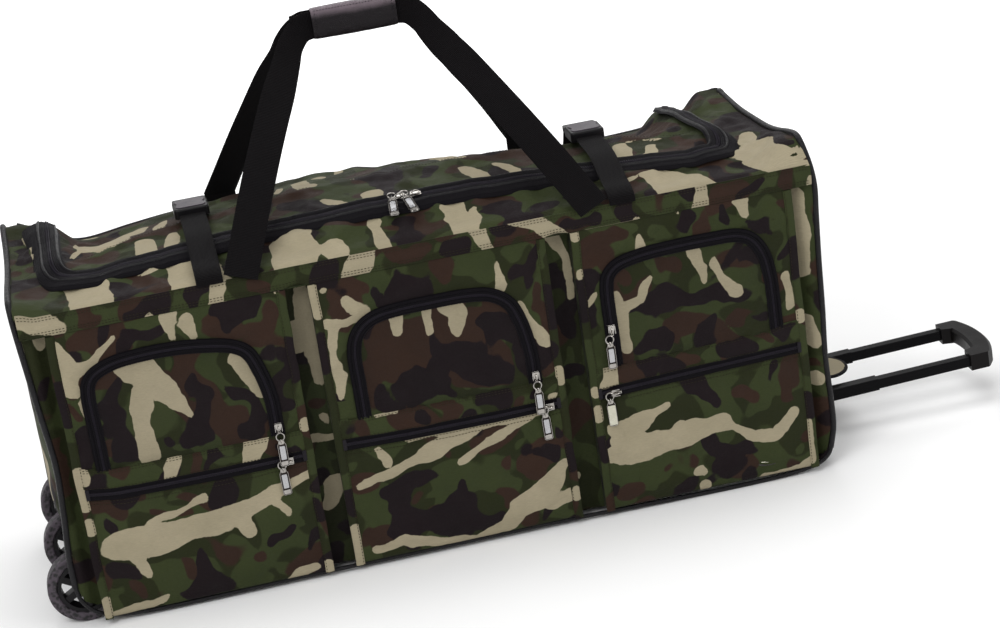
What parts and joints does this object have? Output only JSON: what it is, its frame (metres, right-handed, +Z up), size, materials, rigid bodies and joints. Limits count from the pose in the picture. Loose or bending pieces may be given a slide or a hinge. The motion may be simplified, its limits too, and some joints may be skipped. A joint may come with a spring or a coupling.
{
  "type": "rolling duffel bag",
  "caption": "Long wheeled duffel bag with a zipped top lid, front pockets, carry loops, compression straps and a telescopic pull handle.",
  "frame": {"origin": "on the ground under the centre of the bag, on the middle skid rail's lower face", "axes": "+Z up, +X along the bag towards the trolley handle, -Y towards the front pockets"},
  "size_m": [1.3456, 0.3757, 0.714],
  "materials": {
    "camo_fabric": "matte printed woven polyester",
    "liner": "matte black lining over stiff board",
    "zip_tape": "matte black woven tape",
    "piping": "satin black cord",
    "webbing": "matte black ribbed webbing",
    "wrap_leather": "stitched black leather",
    "buckle_plastic": "satin black moulding",
    "black_plastic": "fine textured black moulding",
    "wheel_tread": "mottled dark grey tread",
    "steel": "zinc plated",
    "rod_coating": "satin black powder coat",
    "zip_metal": "polished nickel",
    "pull_metal": "nickel with darkened recess",
    "badge_plate": "satin plate on a black patch"
  },
  "bodies": {
    "root": {"front_panel": "camo_fabric", "back_panel": "camo_fabric", "left_end_panel": "camo_fabric", "right_end_panel": "camo_fabric", "top_gusset": "camo_fabric", "base_board": "liner", "floor_panel": "liner", "end_pipings": "piping", "front_binding": "camo_fabric", "main_zip_tape": "zip_tape", "pocket_shell_left": "camo_fabric", "pocket_shell_centre": "camo_fabric", "pocket_shell_right": "camo_fabric", "pocket_zip_tapes": "zip_tape", "badge": "badge_plate", "wheel_carrier": "black_plastic", "wheel_axle": "steel", "trolley_outer_tubes": "rod_coating", "trolley_bezel": "black_plastic", "skid_feet": "black_plastic", "carrier_screws": "steel", "trolley_cover_flap": "camo_fabric"},
    "lid": {"lid_panel": "camo_fabric", "rear_strap_webbing": "webbing", "buckle_plugs": "buckle_plastic"},
    "front_straps": {"front_strap_webbing": "webbing", "buckle_sockets": "buckle_plastic"},
    "front_handle": {"front_handle_webbing": "webbing", "handle_wrap": "wrap_leather"},
    "rear_handle": {"rear_handle_webbing": "webbing"},
    "trolley_middle": {"trolley_middle_tubes": "rod_coating"},
    "trolley_inner": {"trolley_inner_tubes": "rod_coating", "trolley_grip": "black_plastic"},
    "release": {"grip_button": "black_plastic", "lock_rods": "steel"},
    "flap_left": {"pocket_flap_left": "camo_fabric"},
    "flap_centre": {"pocket_flap_centre": "camo_fabric"},
    "flap_right": {"pocket_flap_right": "camo_fabric"},
    "wheel_front": {"wheel_hub_front": "black_plastic", "wheel_tyre_front": "wheel_tread"},
    "wheel_middle": {"wheel_hub_middle": "black_plastic", "wheel_tyre_middle": "wheel_tread"},
    "wheel_rear": {"wheel_hub_rear": "black_plastic", "wheel_tyre_rear": "wheel_tread"},
    "main_slider_left": {"main_slider_left": "zip_metal"},
    "main_pull_left": {"main_pull_left": "pull_metal"},
    "main_slider_right": {"main_slider_right": "zip_metal"},
    "main_pull_right": {"main_pull_right": "pull_metal"},
    "arch_slider_left": {"arch_slider_left": "zip_metal"},
    "arch_pull_left": {"arch_pull_left": "pull_metal"},
    "slot_slider_left": {"slot_slider_left": "zip_metal"},
    "slot_pull_left": {"slot_pull_left": "pull_metal"},
    "arch_slider_centre": {"arch_slider_centre": "zip_metal"},
    "arch_pull_centre": {"arch_pull_centre": "pull_metal"},
    "slot_slider_centre": {"slot_slider_centre": "zip_metal"},
    "slot_pull_centre": {"slot_pull_centre": "pull_metal"},
    "arch_slider_right": {"arch_slider_right": "zip_metal"},
    "arch_pull_right": {"arch_pull_right": "pull_metal"},
    "slot_slider_right": {"slot_slider_right": "zip_metal"},
    "slot_pull_right": {"slot_pull_right": "pull_metal"}
  },
  "joints": [
    {"name": "wheel_front_spin", "type": "hinge", "parent": "root", "child": "wheel_front", "pos_m": [-0.5, -0.142, 0.048], "axis": [0, 1, 0], "continuous": true},
    {"name": "wheel_middle_spin", "type": "hinge", "parent": "root", "child": "wheel_middle", "pos_m": [-0.5, 0, 0.048], "axis": [0, 1, 0], "continuous": true},
    {"name": "wheel_rear_spin", "type": "hinge", "parent": "root", "child": "wheel_rear", "pos_m": [-0.5, 0.142, 0.048], "axis": [0, 1, 0], "continuous": true},
    {"name": "trolley_middle_slide", "type": "slide", "parent": "root", "child": "trolley_middle", "axis": [0.9995, 0, 0.0314], "range_m": [-0.094, 0.15]},
    {"name": "trolley_grip_slide", "type": "slide", "parent": "trolley_middle", "child": "trolley_inner", "axis": [0.9995, 0, 0.0314], "range_m": [-0.132, 0.1]},
    {"name": "grip_button_press", "type": "slide", "parent": "trolley_inner", "child": "release", "axis": [-0.9995, 0, -0.0314], "range_m": [0, 0.005], "stiffness_N_per_m": 400},
    {"name": "lid_open", "type": "hinge", "parent": "root", "child": "lid", "pos_m": [0, 0.13, 0.4565], "axis": [-1, 0, 0], "range_deg": [0, 110]},
    {"name": "front_straps_flip", "type": "hinge", "parent": "root", "child": "front_straps", "pos_m": [0, -0.1845, 0.437], "axis": [1, 0, 0], "range_deg": [0, 221]},
    {"name": "rear_handle_fall", "type": "hinge", "parent": "root", "child": "rear_handle", "pos_m": [0, 0.1845, 0.437], "axis": [-1, 0, 0], "range_deg": [0, 144]},
    {"name": "front_handle_fold", "type": "hinge", "parent": "root", "child": "front_handle", "pos_m": [0, -0.1845, 0.437], "axis": [1, 0, 0], "range_deg": [0, 140]},
    {"name": "flap_left_open", "type": "hinge", "parent": "root", "child": "flap_left", "pos_m": [0, -0.1824, 0.2134], "axis": [1, 0, 0], "range_deg": [0, 125]},
    {"name": "flap_centre_open", "type": "hinge", "parent": "root", "child": "flap_centre", "pos_m": [0, -0.1824, 0.2134], "axis": [1, 0, 0], "range_deg": [0, 125]},
    {"name": "flap_right_open", "type": "hinge", "parent": "root", "child": "flap_right", "pos_m": [0, -0.1824, 0.2134], "axis": [1, 0, 0], "range_deg": [0, 125]},
    {"name": "main_slider_left_run", "type": "hinge", "parent": "root", "child": "main_slider_left", "pos_m": [0, -0.1036, -3.544], "axis": [0, 1, 0], "range_deg": [-4.1, 0]},
    {"name": "main_pull_left_swing", "type": "hinge", "parent": "main_slider_left", "child": "main_pull_left", "pos_m": [-0.02, -0.1108, 0.47169], "axis": [-1, 0, 0], "range_deg": [0, 70]},
    {"name": "main_slider_right_run", "type": "hinge", "parent": "root", "child": "main_slider_right", "pos_m": [0, -0.1036, -3.544], "axis": [0, 1, 0], "range_deg": [0, 4.1]},
    {"name": "main_pull_right_swing", "type": "hinge", "parent": "main_slider_right", "child": "main_pull_right", "pos_m": [-0.0025, -0.1108, 0.47168], "axis": [-1, 0, 0], "range_deg": [0, 70]},
    {"name": "arch_slider_left_run", "type": "slide", "parent": "root", "child": "arch_slider_left", "axis": [0, 0, 1], "range_m": [0, 0.075]},
    {"name": "arch_pull_left_swing", "type": "hinge", "parent": "arch_slider_left", "child": "arch_pull_left", "pos_m": [-0.219, -0.1893, 0.2075], "axis": [-1, 0, 0], "range_deg": [0, 60]},
    {"name": "slot_slider_left_run", "type": "slide", "parent": "root", "child": "slot_slider_left", "axis": [-1, 0, 0], "range_m": [0, 0.24]},
    {"name": "slot_pull_left_swing", "type": "hinge", "parent": "slot_slider_left", "child": "slot_pull_left", "pos_m": [-0.223, -0.1859, 0.168], "axis": [-1, 0, 0], "range_deg": [0, 60]},
    {"name": "arch_slider_centre_run", "type": "slide", "parent": "root", "child": "arch_slider_centre", "axis": [0, 0, 1], "range_m": [0, 0.07]},
    {"name": "arch_pull_centre_swing", "type": "hinge", "parent": "arch_slider_centre", "child": "arch_pull_centre", "pos_m": [0.119, -0.1893, 0.205], "axis": [-1, 0, 0], "range_deg": [0, 60]},
    {"name": "slot_slider_centre_run", "type": "slide", "parent": "root", "child": "slot_slider_centre", "axis": [-1, 0, 0], "range_m": [0, 0.25]},
    {"name": "slot_pull_centre_swing", "type": "hinge", "parent": "slot_slider_centre", "child": "slot_pull_centre", "pos_m": [0.124, -0.1859, 0.168], "axis": [-1, 0, 0], "range_deg": [0, 60]},
    {"name": "arch_slider_right_run", "type": "slide", "parent": "root", "child": "arch_slider_right", "axis": [0, 0, 1], "range_m": [-0.04, 0.038]},
    {"name": "arch_pull_right_swing", "type": "hinge", "parent": "arch_slider_right", "child": "arch_pull_right", "pos_m": [0.221, -0.1893, 0.247], "axis": [-1, 0, 0], "range_deg": [0, 60]},
    {"name": "slot_slider_right_run", "type": "slide", "parent": "root", "child": "slot_slider_right", "axis": [1, 0, 0], "range_m": [0, 0.235]},
    {"name": "slot_pull_right_swing", "type": "hinge", "parent": "slot_slider_right", "child": "slot_pull_right", "pos_m": [0.212, -0.1859, 0.168], "axis": [-1, 0, 0], "range_deg": [0, 60]}
  ],
  "couplings": [
    {"joint": "front_straps_flip", "follows": "lid_open", "ratio": 2},
    {"joint": "rear_handle_fall", "follows": "lid_open", "ratio": 1.3}
  ]
}
